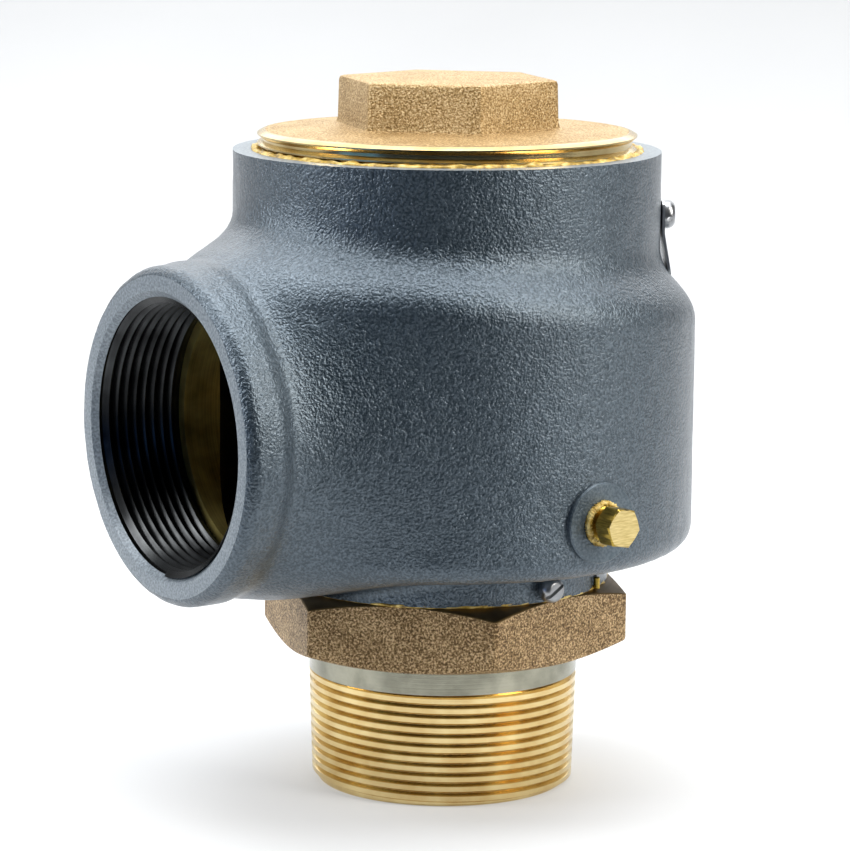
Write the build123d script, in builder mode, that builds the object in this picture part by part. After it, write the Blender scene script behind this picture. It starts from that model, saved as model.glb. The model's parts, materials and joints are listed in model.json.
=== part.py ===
from build123d import *
import math
import os

# Pressure relief valve, angle pattern, male inlet below and female side outlet.
# Millimetres. +Z runs up the valve's axis, the origin is the centre of the inlet end face,
# the outlet opens towards -X and the ring access plug faces -Y.

# Cast body, outside
chamber_radius = 55.4
chamber_floor = 54.7
chamber_edge_fillet = 4.7
shoulder_height = 116.4
shoulder_slope = 0.091
shoulder_fillet = 5.0
neck_root_depth = 20.0
neck_radius = 47.3
neck_fillet = 4.0
neck_top = 142.0
lower_neck_radius = 36.8
lower_neck_bottom = 46.5

# Side outlet, 2 inch pipe size
outlet_height = 83.9
outlet_reach = 72.6
outlet_tube_radius = 34.6
outlet_collar_radius = 36.3
outlet_collar_length = 13.0
outlet_collar_fillet = 1.8
outlet_thread_radius = 30.0
outlet_thread_length = 21.0
outlet_bore_radius = 27.6
outlet_mouth_chamfer = 1.4
outlet_bore_overlap = 12.0

# Cast body, inside
chamber_inner_radius = 50.2
chamber_inner_floor = 59.5
chamber_ceiling = 101.8
ledge_top = 112.6
ledge_bore_radius = 33.8
cap_thread_clearance = 0.05
nozzle_thread_clearance = 0.05
mouth_chamfer = 1.5
through_wall = 10.0

# Inlet nozzle, 2 inch pipe size
inlet_thread_radius = 30.15
nozzle_hex_bottom = 31.5
nozzle_hex_flats = 73.0
nozzle_hex_chamfer = 2.2
nozzle_hex_turn = 11.5
inlet_bore_radius = 25.4
seat_bore_radius = 23.7
seat_height = 70.5
seat_land_width = 2.4
nozzle_groove_radius = 30.0
nozzle_groove_top = 51.7
nozzle_thread_radius = 31.8
nozzle_collar_radius = 28.5

# Regulating ring and its locking plug
ring_radius = 33.0
ring_bottom = 63.0
ring_top = 70.2
ring_notches = 24
ring_notch_width = 2.6
ring_notch_depth = 2.0
plug_pin_gap = 0.4
plug_angle = -87.3
plug_height = 67.0
plug_thread_radius = 3.95
plug_waist_radius = 2.85
plug_waist_length = 1.6
plug_thread_stands_out = 1.0
plug_pin_radius = 1.0
plug_hex_flats = 7.94
plug_hex_length = 4.6
plug_hex_turn = -10.0
plug_hex_chamfer = 0.5
screw_clearance = 0.02
screw_slot_width = 0.9
screw_slot_depth = 1.0
pad_radius = 8.8
pad_face = 56.0

# Disc, its holder and the guide
disc_radius = 27.0
disc_thickness = 5.0
disc_stub_radius = 8.0
disc_groove_depth = 1.0
disc_groove_width = 1.0
retaining_ring_stands_out = 1.6
retaining_ring_gap = 2.4
disc_stub_top = 81.5
holder_radius = 32.6
holder_gap = 0.6
holder_floor_bottom = 75.7
holder_floor_top = 78.7
holder_plate_top = 81.0
holder_sleeve_radius = 23.0
holder_sleeve_bore = 20.0
holder_top = 110.0
guide_clearance = 0.05
guide_sleeve_radius = 27.0
disc_lift = 7.0
guide_sleeve_bottom = holder_plate_top + disc_lift + 0.2
guide_flange_radius = 40.4
guide_flange_top = 117.0
guide_screw_circle = 37.5
guide_screw_radius = 2.0
guide_screw_head_radius = 2.8
guide_screw_count = 4
guide_screw_start = 45.0
guide_screw_head_length = 2.4
guide_screw_reach = 7.5
guide_screw_hole_depth = 8.0
guide_vent_circle = 30.5
guide_vent_radius = 1.5

# Spring, its two steps and their pivot balls
ball_radius = 4.0
ball_seat_clearance = 0.05
lower_ball_height = 83.5
upper_ball_height = 138.5
step_radius = 18.4
step_flange = 3.0
step_spigot_radius = 13.0
step_spigot_length = 3.0
step_boss_radius = 10.0
step_boss_length = 2.6
spring_bottom = 91.0
spring_top = 131.0
spring_mean_radius = 15.6
spring_wire_radius = 2.25
spring_turns = 5.5

# Threaded cap that loads the spring
cap_thread_radius = 41.9
cap_skirt_bottom = 123.0
cap_skirt_bore = 36.0
cap_underside = 140.0
cap_rim_top = 146.2
cap_rim_bevel = 1.0
cap_hex_flats = 43.0
cap_hex_top = 157.8
cap_hex_turn = 12.7
cap_hex_bottom = 147.0

# Cap lock screw, the slug it presses on, and the blank tag under its head
lock_angle = -31.3
lock_height = 127.7
lock_screw_radius = 1.75
lock_head_radius = 3.25
lock_head_length = 2.6
lock_head_fillet = 1.4
lock_head_base = 48.1
lock_wire_hole_radius = 0.65
lock_wire_hole_depth = 1.25
lock_wire_hole_drop = 0.9
slug_length = 2.0
slug_radius = 1.7
lock_hole_radius = 1.8
tag_thickness = 0.7
tag_width = 12.0
tag_lean = 10.1
tag_bend_height = 124.0
tag_top = 131.2
tag_leaf_length = 9.8
tag_hole_clearance = 0.15

# Nozzle lock screw and dowel pin in the lower neck
nozzle_screw_angle = -87.3
nozzle_screw_height = 49.5
nozzle_screw_radius = 1.6
nozzle_screw_head_radius = 2.8
nozzle_screw_head_length = 2.6
nozzle_screw_head_fillet = 1.1
nozzle_screw_head_base = 38.2
nozzle_screw_slot_turn = 32.0
dowel_angle = -59.0
dowel_radius = 0.75
dowel_length = 3.0
dowel_recess = 0.3

outlet_plane = Plane(origin=(0, 0, outlet_height), x_dir=(0, 1, 0), z_dir=(-1, 0, 0))
shoulder_plane = Plane(
    origin=(0, 0, shoulder_height), x_dir=(1, 0, -shoulder_slope), z_dir=(shoulder_slope, 0, 1)
)


def radial_plane(angle, height, radius):
    """A plane square to the radius at this angle, its normal pointing outwards."""
    outward = Vector(math.cos(math.radians(angle)), math.sin(math.radians(angle)), 0)
    return Plane(
        origin=(outward.X * radius, outward.Y * radius, height),
        x_dir=(-outward.Y, outward.X, 0),
        z_dir=(outward.X, outward.Y, 0),
    )


def lies_on_radius(edge, radius):
    """True where an edge runs round the valve's axis at this radius."""
    return all(abs(math.hypot((edge @ t).X, (edge @ t).Y) - radius) < 0.05 for t in (0.1, 0.37, 0.71))


def finish(piece, label):
    """Label a finished piece and write it to its own file."""
    piece.label = label
    export_step(piece, f"parts/{label}.step")


os.makedirs("parts", exist_ok=True)


# Cast iron body: a round chamber under a sloping shoulder, with the neck above it,
# a short neck below it for the nozzle and a collared tube at the side for the outlet.
with BuildPart() as body_casting:
    with BuildSketch(Plane.XY.offset(chamber_floor)):
        Circle(chamber_radius)
    extrude(amount=neck_top - chamber_floor)
    split(bisect_by=shoulder_plane, keep=Keep.BOTTOM)
    with BuildSketch(Plane.XY.offset(shoulder_height - neck_root_depth)):
        Circle(neck_radius)
    extrude(amount=neck_top - shoulder_height + neck_root_depth)
    fillet(
        body_casting.edges().filter_by(
            lambda edge: lies_on_radius(edge, neck_radius) and (edge @ 0.3).Z < neck_top - 1
        ),
        neck_fillet,
    )
    fillet(
        body_casting.edges().filter_by(
            lambda edge: lies_on_radius(edge, chamber_radius) and (edge @ 0.3).Z > outlet_height
        ),
        shoulder_fillet,
    )
    fillet(body_casting.edges().sort_by(Axis.Z)[0], chamber_edge_fillet)
    with BuildSketch(Plane.XY.offset(lower_neck_bottom)):
        Circle(lower_neck_radius)
    extrude(amount=chamber_inner_floor - lower_neck_bottom)
    with BuildSketch(outlet_plane.offset(lower_neck_radius)):
        Circle(outlet_tube_radius)
    extrude(amount=outlet_reach - lower_neck_radius)
    with BuildSketch(outlet_plane.offset(outlet_reach - outlet_collar_length)):
        Circle(outlet_collar_radius)
    extrude(amount=outlet_collar_length)
    fillet(body_casting.faces().sort_by(Axis.X)[0].outer_wire().edges(), outlet_collar_fillet)
    # flat spot-faced pad for the plug
    with BuildSketch(radial_plane(plug_angle, plug_height, chamber_inner_radius + 1)):
        Circle(pad_radius)
    extrude(amount=pad_face - chamber_inner_radius - 1)
    # discharge chamber, ledge bore, spring chamber and nozzle bore
    with BuildSketch(Plane.XY.offset(chamber_inner_floor)):
        Circle(chamber_inner_radius)
    extrude(amount=chamber_ceiling - chamber_inner_floor, mode=Mode.SUBTRACT)
    with BuildSketch(Plane.XY.offset(chamber_ceiling)):
        Circle(ledge_bore_radius)
    extrude(amount=ledge_top - chamber_ceiling, mode=Mode.SUBTRACT)
    with BuildSketch(Plane.XY.offset(ledge_top)):
        Circle(cap_thread_radius + cap_thread_clearance)
    extrude(amount=neck_top - ledge_top, mode=Mode.SUBTRACT)
    with BuildSketch(Plane.XY.offset(lower_neck_bottom)):
        Circle(nozzle_thread_radius + nozzle_thread_clearance)
    extrude(amount=chamber_inner_floor - lower_neck_bottom, mode=Mode.SUBTRACT)
    # outlet: threaded length, then a machined bore through to the chamber
    with BuildSketch(outlet_plane.offset(outlet_reach)):
        Circle(outlet_thread_radius)
    extrude(amount=-outlet_thread_length, mode=Mode.SUBTRACT)
    with BuildSketch(outlet_plane.offset(chamber_inner_radius - outlet_bore_overlap)):
        Circle(outlet_bore_radius)
    extrude(amount=outlet_reach - chamber_inner_radius + outlet_bore_overlap, mode=Mode.SUBTRACT)
    chamfer(
        body_casting.edges().filter_by(GeomType.CIRCLE).sort_by(Axis.X)[0:1], outlet_mouth_chamfer
    )
    chamfer(
        body_casting.edges().filter_by(
            lambda edge: lies_on_radius(edge, cap_thread_radius + cap_thread_clearance)
            and (edge @ 0.3).Z > neck_top - 0.1
        ),
        mouth_chamfer,
    )
    # holes for the plug, the two lock screws, the dowel and the guide screws
    with BuildSketch(radial_plane(plug_angle, plug_height, chamber_inner_radius - 3)):
        Circle(plug_thread_radius)
    extrude(amount=through_wall, mode=Mode.SUBTRACT)
    with BuildSketch(radial_plane(lock_angle, lock_height, cap_thread_radius - 2)):
        Circle(lock_hole_radius)
    extrude(amount=through_wall, mode=Mode.SUBTRACT)
    with BuildSketch(radial_plane(nozzle_screw_angle, nozzle_screw_height, nozzle_groove_radius)):
        Circle(nozzle_screw_radius)
    extrude(amount=through_wall, mode=Mode.SUBTRACT)
    with BuildSketch(Plane.XY.offset(lower_neck_bottom)):
        with PolarLocations(lower_neck_radius, 1, start_angle=dowel_angle):
            Circle(dowel_radius)
    extrude(amount=dowel_length, mode=Mode.SUBTRACT)
    with BuildSketch(Plane.XY.offset(ledge_top)):
        with PolarLocations(guide_screw_circle, guide_screw_count, start_angle=guide_screw_start):
            Circle(guide_screw_radius)
    extrude(amount=-guide_screw_hole_depth, mode=Mode.SUBTRACT)
finish(body_casting.part, "body_casting")


# Bronze inlet nozzle: pipe thread, wrench hexagon, body thread and the raised seat.
with BuildPart() as inlet_nozzle:
    with BuildSketch(Plane.XZ):
        with BuildLine():
            Polyline(
                (inlet_bore_radius, 0),
                (inlet_thread_radius, 0),
                (inlet_thread_radius, nozzle_hex_bottom + 1),
                (nozzle_groove_radius, nozzle_hex_bottom + 2),
                (nozzle_groove_radius, nozzle_groove_top),
                (nozzle_thread_radius, nozzle_groove_top + 1),
                (nozzle_thread_radius, chamber_inner_floor),
                (nozzle_collar_radius, chamber_inner_floor),
                (nozzle_collar_radius, seat_height - 1),
                (seat_bore_radius + seat_land_width, seat_height),
                (seat_bore_radius, seat_height),
                close=True,
            )
        make_face()
    revolve(axis=Axis.Z)
    with BuildSketch(Plane.XY.offset(nozzle_hex_bottom)):
        RegularPolygon(nozzle_hex_flats / 2, 6, major_radius=False, rotation=nozzle_hex_turn)
        Circle(inlet_thread_radius - 1, mode=Mode.SUBTRACT)
    extrude(amount=lower_neck_bottom - nozzle_hex_bottom)
    # the turned chamfer that cuts the hexagon's top corners, drawn a little past them
    hex_corner = nozzle_hex_flats / math.sqrt(3)
    past_corner = 1.25
    with BuildSketch(Plane.XZ):
        with BuildLine():
            Polyline(
                (nozzle_hex_flats / 2, lower_neck_bottom),
                (
                    nozzle_hex_flats / 2 + past_corner * (hex_corner - nozzle_hex_flats / 2),
                    lower_neck_bottom,
                ),
                (
                    nozzle_hex_flats / 2 + past_corner * (hex_corner - nozzle_hex_flats / 2),
                    lower_neck_bottom - past_corner * nozzle_hex_chamfer,
                ),
                close=True,
            )
        make_face()
    revolve(axis=Axis.Z, mode=Mode.SUBTRACT)
finish(inlet_nozzle.part, "inlet_nozzle")


# Regulating ring threaded on the nozzle, notched all round its rim for setting and locking.
with BuildPart() as regulating_ring:
    with BuildSketch(Plane.XY.offset(ring_bottom)):
        Circle(ring_radius)
        Circle(nozzle_collar_radius + nozzle_thread_clearance, mode=Mode.SUBTRACT)
        with PolarLocations(ring_radius, ring_notches, start_angle=plug_angle):
            Rectangle(2 * ring_notch_depth, ring_notch_width, mode=Mode.SUBTRACT)
    extrude(amount=ring_top - ring_bottom)
finish(regulating_ring.part, "regulating_ring")


# Brass plug in the chamber wall: hexagon head, waist, pipe thread and a pin into a ring notch.
with BuildPart() as ring_lock_plug:
    with BuildSketch(radial_plane(plug_angle, plug_height, ring_radius - ring_notch_depth + plug_pin_gap)):
        Circle(plug_pin_radius)
    extrude(amount=chamber_inner_radius - ring_radius + ring_notch_depth)
    with BuildSketch(radial_plane(plug_angle, plug_height, chamber_inner_radius)):
        Circle(plug_thread_radius - screw_clearance)
    extrude(amount=pad_face - chamber_inner_radius + plug_thread_stands_out)
    with BuildSketch(radial_plane(plug_angle, plug_height, pad_face)):
        Circle(plug_waist_radius)
    extrude(amount=plug_thread_stands_out + plug_waist_length)
    with BuildSketch(
        radial_plane(plug_angle, plug_height, pad_face + plug_thread_stands_out + plug_waist_length)
    ):
        RegularPolygon(plug_hex_flats / 2, 6, major_radius=False, rotation=plug_hex_turn)
    extrude(amount=plug_hex_length)
    chamfer(ring_lock_plug.faces().sort_by(Axis.Y)[0].edges(), plug_hex_chamfer)
finish(ring_lock_plug.part, "ring_lock_plug")


# Slotted screw in the lower neck; its tip sits in the nozzle's groove and locks the nozzle.
with BuildPart() as nozzle_lock_screw:
    with BuildSketch(radial_plane(nozzle_screw_angle, nozzle_screw_height, nozzle_groove_radius + 0.1)):
        Circle(nozzle_screw_radius - screw_clearance)
    extrude(amount=nozzle_screw_head_base - nozzle_groove_radius - 0.1)
    with BuildSketch(radial_plane(nozzle_screw_angle, nozzle_screw_height, nozzle_screw_head_base)):
        Circle(nozzle_screw_head_radius)
    extrude(amount=nozzle_screw_head_length)
    head_face = nozzle_lock_screw.faces().sort_by(Axis.Y)[0]
    fillet(head_face.edges(), nozzle_screw_head_fillet)
    with BuildSketch(
        radial_plane(nozzle_screw_angle, nozzle_screw_height, nozzle_screw_head_base + nozzle_screw_head_length)
    ):
        Rectangle(3 * nozzle_screw_head_radius, screw_slot_width, rotation=nozzle_screw_slot_turn)
    extrude(amount=-screw_slot_depth, mode=Mode.SUBTRACT)
finish(nozzle_lock_screw.part, "nozzle_lock_screw")


# Small pin driven up between the lower neck and the nozzle's hexagon.
with BuildPart() as nozzle_dowel_pin:
    with BuildSketch(Plane.XY.offset(lower_neck_bottom)):
        with PolarLocations(lower_neck_radius, 1, start_angle=dowel_angle):
            Circle(dowel_radius - screw_clearance)
    extrude(amount=dowel_length - dowel_recess)
finish(nozzle_dowel_pin.part, "nozzle_dowel_pin")


# Bronze disc with a flat lapped face and a stub that carries the lower pivot ball.
disc_groove_bottom = holder_floor_top + 0.4
with BuildPart() as disc:
    with BuildSketch(Plane.XZ):
        with BuildLine():
            Polyline(
                (0, seat_height),
                (disc_radius, seat_height),
                (disc_radius, seat_height + disc_thickness),
                (disc_stub_radius, seat_height + disc_thickness),
                (disc_stub_radius, disc_groove_bottom),
                (disc_stub_radius - disc_groove_depth, disc_groove_bottom),
                (disc_stub_radius - disc_groove_depth, disc_groove_bottom + disc_groove_width),
                (disc_stub_radius, disc_groove_bottom + disc_groove_width),
                (disc_stub_radius, disc_stub_top),
                (0, disc_stub_top),
                close=True,
            )
        make_face()
    revolve(axis=Axis.Z)
    with Locations((0, 0, lower_ball_height)):
        Sphere(ball_radius + ball_seat_clearance, mode=Mode.SUBTRACT)
finish(disc.part, "disc")


# Split spring-wire ring in the stub's groove; it holds the disc in its holder.
with BuildPart() as disc_retaining_ring:
    with BuildSketch(Plane.XY.offset(disc_groove_bottom + 0.05)):
        Circle(disc_stub_radius + retaining_ring_stands_out)
        Circle(disc_stub_radius - disc_groove_depth + 0.05, mode=Mode.SUBTRACT)
        with Locations((disc_stub_radius, 0)):
            Rectangle(disc_stub_radius, retaining_ring_gap, mode=Mode.SUBTRACT)
    extrude(amount=disc_groove_width - 0.1)
finish(disc_retaining_ring.part, "disc_retaining_ring")


# Bronze holder: a lipped plate over the disc and a turned sleeve that slides in the guide.
with BuildPart() as disc_holder:
    with BuildSketch(Plane.XZ):
        with BuildLine():
            Polyline(
                (disc_stub_radius + 0.2, holder_floor_bottom),
                (disc_radius + holder_gap, holder_floor_bottom),
                (disc_radius + holder_gap, seat_height + 2 * holder_gap),
                (holder_radius, seat_height + holder_gap),
                (holder_radius, holder_plate_top - 1),
                (holder_radius - 1, holder_plate_top),
                (holder_sleeve_radius, holder_plate_top),
                (holder_sleeve_radius, holder_top),
                (holder_sleeve_bore, holder_top),
                (holder_sleeve_bore, holder_floor_top),
                (disc_stub_radius + 0.2, holder_floor_top),
                close=True,
            )
        make_face()
    revolve(axis=Axis.Z)
finish(disc_holder.part, "disc_holder")


# Bronze guide: a flange on the body's ledge and a sleeve that hangs into the chamber.
with BuildPart() as guide:
    with BuildSketch(Plane.XZ):
        with BuildLine():
            Polyline(
                (holder_sleeve_radius + guide_clearance, guide_sleeve_bottom),
                (guide_sleeve_radius, guide_sleeve_bottom),
                (guide_sleeve_radius, ledge_top),
                (guide_flange_radius, ledge_top),
                (guide_flange_radius, guide_flange_top),
                (holder_sleeve_radius + guide_clearance, guide_flange_top),
                close=True,
            )
        make_face()
    revolve(axis=Axis.Z)
    with BuildSketch(Plane.XY.offset(ledge_top)):
        with PolarLocations(guide_screw_circle, guide_screw_count, start_angle=guide_screw_start):
            Circle(guide_screw_radius + 0.1)
        with PolarLocations(guide_vent_circle, guide_screw_count):
            Circle(guide_vent_radius)
    extrude(amount=guide_flange_top - ledge_top, mode=Mode.SUBTRACT)
finish(guide.part, "guide")


# Four cheese-head screws that hold the guide's flange down on the ledge.
with BuildPart() as guide_screws:
    with BuildSketch(Plane.XY.offset(ledge_top - guide_screw_reach)):
        with PolarLocations(guide_screw_circle, guide_screw_count, start_angle=guide_screw_start):
            Circle(guide_screw_radius - screw_clearance)
    extrude(amount=guide_flange_top - ledge_top + guide_screw_reach)
    with BuildSketch(Plane.XY.offset(guide_flange_top)):
        with PolarLocations(guide_screw_circle, guide_screw_count, start_angle=guide_screw_start):
            Circle(guide_screw_head_radius)
    extrude(amount=guide_screw_head_length)
    with BuildSketch(Plane.XY.offset(guide_flange_top + guide_screw_head_length)):
        with PolarLocations(guide_screw_circle, guide_screw_count, start_angle=guide_screw_start):
            Rectangle(3 * guide_screw_head_radius, screw_slot_width)
    extrude(amount=-screw_slot_depth, mode=Mode.SUBTRACT)
finish(guide_screws.part, "guide_screws")


def make_ball(label, height):
    """A hardened steel pivot ball on the valve's axis."""
    with BuildPart() as ball:
        with Locations((0, 0, height)):
            Sphere(ball_radius)
    finish(ball.part, label)


make_ball("lower_pivot_ball", lower_ball_height)
make_ball("upper_pivot_ball", upper_ball_height)


def make_step(label, seat, direction, ball_height):
    """A spring step: a flange for the coil, a spigot inside it and a socketed boss for the ball.

    The coil sits at the height `seat`, and `direction` is +1 where the coil lies above.
    """
    with BuildPart() as step:
        with BuildSketch(Plane.XY.offset(seat)):
            Circle(step_radius)
        extrude(amount=-direction * step_flange)
        with BuildSketch(Plane.XY.offset(seat)):
            Circle(step_spigot_radius)
        extrude(amount=direction * step_spigot_length)
        with BuildSketch(Plane.XY.offset(seat - direction * step_flange)):
            Circle(step_boss_radius)
        extrude(amount=-direction * step_boss_length)
        with Locations((0, 0, ball_height)):
            Sphere(ball_radius + ball_seat_clearance, mode=Mode.SUBTRACT)
    finish(step.part, label)


make_step("lower_spring_step", spring_bottom, 1, lower_ball_height)
make_step("upper_spring_step", spring_top, -1, upper_ball_height)


# Steel compression spring with ground ends.
with BuildPart() as spring:
    with BuildLine():
        coil = Helix(
            pitch=(spring_top - spring_bottom) / spring_turns,
            height=spring_top - spring_bottom,
            radius=spring_mean_radius,
            center=(0, 0, spring_bottom),
        )
    with BuildSketch(Plane(origin=coil @ 0, z_dir=coil % 0)):
        Circle(spring_wire_radius)
    sweep()
    split(bisect_by=Plane.XY.offset(spring_bottom), keep=Keep.TOP)
    split(bisect_by=Plane.XY.offset(spring_top), keep=Keep.BOTTOM)
finish(spring.part, "spring")


# Cast bronze cap: a threaded skirt, a flat top with a turned bevel, and a wrench hexagon.
with BuildPart() as cap:
    with BuildSketch(Plane.XZ):
        with BuildLine():
            Polyline(
                (0, cap_underside),
                (cap_skirt_bore, cap_underside),
                (cap_skirt_bore, cap_skirt_bottom),
                (cap_thread_radius - 1, cap_skirt_bottom),
                (cap_thread_radius, cap_skirt_bottom + 1),
                (cap_thread_radius, cap_rim_top - cap_rim_bevel),
                (cap_thread_radius - 2 * cap_rim_bevel, cap_rim_top),
                (cap_hex_flats / 2 + 4, cap_hex_bottom),
                (0, cap_hex_bottom),
                close=True,
            )
        make_face()
    revolve(axis=Axis.Z)
    with BuildSketch(Plane.XY.offset(cap_underside + 4)):
        RegularPolygon(cap_hex_flats / 2, 6, major_radius=False, rotation=cap_hex_turn)
    extrude(amount=cap_hex_top - cap_underside - 4)
    with Locations((0, 0, upper_ball_height)):
        Sphere(ball_radius + ball_seat_clearance, mode=Mode.SUBTRACT)
finish(cap.part, "cap")


# Drilled round-head screw through the upper neck; it presses a brass slug on the cap's thread.
with BuildPart() as cap_lock_screw:
    with BuildSketch(
        radial_plane(lock_angle, lock_height, cap_thread_radius + cap_thread_clearance + slug_length)
    ):
        Circle(lock_screw_radius)
    extrude(amount=lock_head_base - cap_thread_radius - cap_thread_clearance - slug_length)
    with BuildSketch(radial_plane(lock_angle, lock_height, lock_head_base)):
        Circle(lock_head_radius)
    extrude(amount=lock_head_length)
    head_centre = radial_plane(lock_angle, lock_height - lock_wire_hole_drop, lock_head_base)
    fillet(
        cap_lock_screw.faces().sort_by(Axis((0, 0, 0), head_centre.z_dir))[-1].edges(),
        lock_head_fillet,
    )
    with BuildSketch(
        Plane(
            origin=head_centre.origin + head_centre.z_dir * lock_wire_hole_depth,
            z_dir=head_centre.x_dir,
        )
    ):
        Circle(lock_wire_hole_radius)
    extrude(amount=2 * lock_head_radius, both=True, mode=Mode.SUBTRACT)
finish(cap_lock_screw.part, "cap_lock_screw")


# Soft brass slug between the lock screw's tip and the cap's thread.
with BuildPart() as cap_lock_slug:
    with BuildSketch(
        radial_plane(lock_angle, lock_height, cap_thread_radius + cap_thread_clearance)
    ):
        Circle(slug_radius)
    extrude(amount=slug_length)
finish(cap_lock_slug.part, "cap_lock_slug")


# Blank metal tag: a tab clamped under the lock screw's head and a leaf that leans out below.
with BuildPart() as name_tag:
    with BuildSketch(radial_plane(lock_angle, 0, neck_radius + 0.02)):
        with BuildLine():
            Polyline((-tag_width / 2, tag_top), (tag_width / 2, tag_top),
                     (tag_width / 2, tag_bend_height), (-tag_width / 2, tag_bend_height), close=True)
        make_face()
        with Locations((0, lock_height)):
            Circle(lock_screw_radius + tag_hole_clearance, mode=Mode.SUBTRACT)
    extrude(amount=tag_thickness)
    with BuildSketch(
        radial_plane(lock_angle, tag_bend_height, neck_radius + 0.02).rotated((-tag_lean, 0, 0))
    ):
        with BuildLine():
            Polyline((-tag_width / 2, 0), (tag_width / 2, 0),
                     (tag_width / 2, -tag_leaf_length), (-tag_width / 2, -tag_leaf_length), close=True)
        make_face()
    extrude(amount=tag_thickness)
finish(name_tag.part, "name_tag")
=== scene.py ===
"""Looks of an angle-pattern pressure relief valve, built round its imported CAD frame."""

import json
import math

import bmesh
import bpy
import numpy as np
from mathutils import Matrix, Vector


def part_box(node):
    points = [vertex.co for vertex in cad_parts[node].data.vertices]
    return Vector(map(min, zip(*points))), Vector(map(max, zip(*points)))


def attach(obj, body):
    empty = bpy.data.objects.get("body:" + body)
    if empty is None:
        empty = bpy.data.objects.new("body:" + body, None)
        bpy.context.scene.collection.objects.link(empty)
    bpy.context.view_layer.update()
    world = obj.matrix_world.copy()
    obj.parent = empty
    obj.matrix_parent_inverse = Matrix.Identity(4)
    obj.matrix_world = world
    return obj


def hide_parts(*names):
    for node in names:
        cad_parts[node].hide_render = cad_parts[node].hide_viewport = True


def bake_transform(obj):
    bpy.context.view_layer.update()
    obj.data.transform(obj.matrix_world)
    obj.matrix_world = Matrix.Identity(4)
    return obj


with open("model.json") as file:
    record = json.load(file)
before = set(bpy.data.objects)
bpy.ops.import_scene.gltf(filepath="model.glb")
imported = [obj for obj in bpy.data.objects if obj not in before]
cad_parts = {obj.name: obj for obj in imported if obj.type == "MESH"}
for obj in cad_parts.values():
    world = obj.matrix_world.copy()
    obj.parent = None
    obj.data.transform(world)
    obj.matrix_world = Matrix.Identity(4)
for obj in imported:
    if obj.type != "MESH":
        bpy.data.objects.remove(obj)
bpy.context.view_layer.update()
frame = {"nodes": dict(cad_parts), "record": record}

# ------------------------------------------------------------------------------------------
# Body casting
# Grey iron poured in a sand mould, which leaves a fine leathery grain on its skin, then
# sprayed grey all over. The outlet face, the neck's rim and the bores are machined.
# ------------------------------------------------------------------------------------------
mm = 0.001
mounts = {mount["name"]: mount for mount in frame["record"]["mounts"]}
body_low, body_high = (Vector(corner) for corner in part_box("body_casting"))
cap_low, cap_high = (Vector(corner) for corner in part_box("cap"))
outlet_height = mounts["outlet_thread"]["pos_m"][2]
outlet_root_radius = mounts["outlet_thread"]["dims"]["r_mm"] * mm
outlet_face = body_low.x
neck_top = body_high.z
lower_neck_bottom = body_low.z
chamber_radius = body_high.x
cap_thread_radius = (cap_high.x - cap_low.x) / 2

chamber_floor = 54.7 * mm
shoulder_height = 116.4 * mm
shoulder_slope = 0.091
shoulder_round = 7.5 * mm
neck_radius = 47.3 * mm
neck_blend = 8.0 * mm
floor_round = 4.7 * mm
lower_neck_radius = 36.8 * mm
tube_radius = 34.5 * mm
tube_blend = 15.0 * mm
collar_radius = 36.6 * mm
collar_length = 13.0 * mm
collar_slope = 6.0 * mm
collar_round = 3.6 * mm
faced_off = 0.5 * mm
machining_stock = 3 * mm
inside_chamber = 15 * mm
lower_neck_blend = 2.5 * mm
skin_cube = 1.15 * mm

chamber_bore = 50.2 * mm
chamber_bore_floor = 59.5 * mm
chamber_ceiling = 101.8 * mm
ledge_bore = 33.8 * mm
ledge_top = 112.6 * mm
nozzle_bore = 31.85 * mm
outlet_bore = 27.6 * mm
outlet_bore_start = 38.0 * mm
outlet_thread_end = 51.2 * mm
mouth_chamfer = 1.3 * mm
mouth_chamfer_depth = 1.6 * mm
clear_of_casting = 12 * mm
dowel_angle = math.radians(-59)
notch_radius = 1.3 * mm
notch_top = 2.8 * mm


def round_union(first, second, radius):
    """Two distances joined, with a fillet of this radius in the corner between them."""
    inner = np.hypot(np.maximum(radius - first, 0), np.maximum(radius - second, 0))
    return np.maximum(np.minimum(first, second), radius) - inner


def round_overlap(first, second, radius):
    """What two distances share, with its edge rounded to this radius."""
    outer = np.hypot(np.maximum(first + radius, 0), np.maximum(second + radius, 0))
    return np.minimum(np.maximum(first, second), -radius) + outer


def casting_skin(x, y, z):
    """Distance from the sand-cast skin, negative inside the iron."""
    from_axis = np.hypot(x, y)
    from_outlet = np.hypot(y, z - outlet_height)
    above_shoulder = (z - shoulder_height + shoulder_slope * x) / math.hypot(1, shoulder_slope)
    chamber = round_overlap(from_axis - chamber_radius, above_shoulder, shoulder_round)
    chamber = round_overlap(chamber, chamber_floor - z, floor_round)
    neck = np.maximum(from_axis - neck_radius, chamber_floor + 10 * mm - z)
    skin = round_union(chamber, neck, neck_blend)
    # The tube swells into its collar, so the way to its skin is a little less than straight out.
    behind_face = x - outlet_face
    share = np.clip((collar_length - behind_face) / collar_slope, 0, 1)
    swell = (collar_radius - tube_radius) * share * share * (3 - 2 * share)
    off_tube = 0.9 * (from_outlet - tube_radius - swell)
    tube = round_overlap(off_tube, -behind_face - faced_off, collar_round)
    skin = round_union(skin, np.maximum(tube, x + inside_chamber), tube_blend)
    lower_neck = np.maximum(from_axis - lower_neck_radius, z - chamber_floor - 4 * mm)
    skin = round_union(skin, lower_neck, lower_neck_blend)
    ends = np.maximum(z - neck_top - machining_stock, lower_neck_bottom - machining_stock - z)
    return np.maximum(skin, ends)


def gradient(distance, points):
    """The direction in which a distance grows at each point, of length about one."""
    step = 0.05 * mm
    sides = []
    for axis in np.eye(3) * step:
        ahead = distance(*(points + axis).T)
        behind = distance(*(points - axis).T)
        sides.append((ahead - behind) / (2 * step))
    return np.stack(sides, axis=1)


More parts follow.
